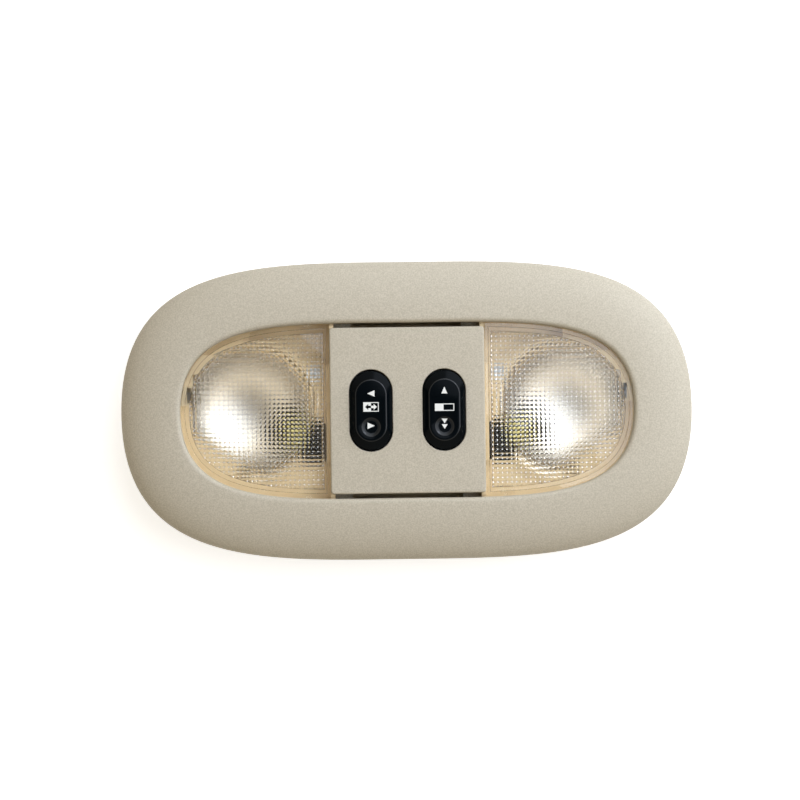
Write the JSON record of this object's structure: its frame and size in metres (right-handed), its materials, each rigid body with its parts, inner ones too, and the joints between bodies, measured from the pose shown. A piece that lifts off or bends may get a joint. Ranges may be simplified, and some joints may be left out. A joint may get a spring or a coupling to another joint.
{
  "type": "car dome light",
  "caption": "Oval overhead car dome light with a crowned bezel, two push-to-operate lenses over bowl reflectors, and a centre panel of rocker switches.",
  "frame": {"origin": "middle of the plane where the bezel's rim meets the roof lining", "axes": "+Z out of the face into the cabin, +X along the light's length, +Y across it towards the top of the picture"},
  "size_m": [0.268, 0.1396, 0.039],
  "materials": {
    "beige_plastic": "fine grained, matt",
    "housing_plastic": "smooth satin",
    "clear_lens": "clear, smooth face over a pillow grid",
    "silver_coating": "bright vacuum metallised",
    "bulb_glass": "clear, faintly yellow",
    "holder_plastic": "matt black",
    "knob_plastic": "satin black, fine grained",
    "switch_plastic": "matt dark grey",
    "natural_plastic": "smooth natural nylon",
    "plunger_plastic": "smooth white",
    "dome_rubber": "matt grey silicone",
    "board_laminate": "satin green laminate",
    "brass_strip": "stamped, bright",
    "screw_steel": "bright zinc",
    "spring_steel": "dark tempered"
  },
  "bodies": {
    "base": {"bezel": "beige_plastic", "switch_panel": "beige_plastic", "lamp_housing": "housing_plastic", "left_reflector": "silver_coating", "right_reflector": "silver_coating", "left_bulb": "bulb_glass", "right_bulb": "bulb_glass", "left_bulb_holder": "holder_plastic", "right_bulb_holder": "holder_plastic", "window_switch_body": "switch_plastic", "roof_switch_body": "switch_plastic", "lamp_connector": "switch_plastic", "left_push_switch": "natural_plastic", "right_push_switch": "natural_plastic", "window_dome_mat": "dome_rubber", "roof_dome_mat": "dome_rubber", "window_circuit_board": "board_laminate", "roof_circuit_board": "board_laminate", "ground_strip": "brass_strip", "left_feed_strip": "brass_strip", "right_feed_strip": "brass_strip", "left_lamp_strip": "brass_strip", "right_lamp_strip": "brass_strip", "window_terminals": "brass_strip", "roof_terminals": "brass_strip", "housing_screws": "screw_steel", "reflector_screws": "screw_steel", "mounting_clips": "spring_steel", "left_plunger_spring": "spring_steel", "right_plunger_spring": "spring_steel"},
    "left_lens": {"left_lens": "clear_lens"},
    "right_lens": {"right_lens": "clear_lens"},
    "left_push_plunger": {"left_push_plunger": "plunger_plastic"},
    "right_push_plunger": {"right_push_plunger": "plunger_plastic"},
    "window_rocker": {"window_rocker": "knob_plastic"},
    "roof_rocker": {"roof_rocker": "knob_plastic"}
  },
  "joints": [
    {"name": "left_lens_press", "type": "hinge", "parent": "base", "child": "left_lens", "pos_m": [-0.0464, 0, 0.0055], "axis": [0, -1, 0], "range_deg": [0, 2.2], "stiffness_Nm_per_rad": 2.8, "springref_deg": -1.15},
    {"name": "left_plunger_press", "type": "slide", "parent": "base", "child": "left_push_plunger", "axis": [0, 0, -1], "range_m": [0, 0.0022], "deforming": ["left_plunger_spring"]},
    {"name": "right_lens_press", "type": "hinge", "parent": "base", "child": "right_lens", "pos_m": [0.0464, 0, 0.0055], "axis": [0, 1, 0], "range_deg": [0, 2.2], "stiffness_Nm_per_rad": 2.8, "springref_deg": -1.15},
    {"name": "right_plunger_press", "type": "slide", "parent": "base", "child": "right_push_plunger", "axis": [0, 0, -1], "range_m": [0, 0.0022], "deforming": ["right_plunger_spring"]},
    {"name": "window_rock", "type": "hinge", "parent": "base", "child": "window_rocker", "pos_m": [-0.0171, 0, 0.0048], "axis": [1, 0, 0], "range_deg": [-6, 6], "stiffness_Nm_per_rad": 0.34, "deforming": ["window_dome_mat"]},
    {"name": "roof_rock", "type": "hinge", "parent": "base", "child": "roof_rocker", "pos_m": [0.0171, 0, 0.0048], "axis": [1, 0, 0], "range_deg": [-6, 6], "stiffness_Nm_per_rad": 0.34, "deforming": ["roof_dome_mat"]}
  ],
  "couplings": [
    {"joint": "left_plunger_press", "follows": "left_lens_press", "m_per_rad": 0.0562},
    {"joint": "right_plunger_press", "follows": "right_lens_press", "m_per_rad": 0.0562}
  ]
}
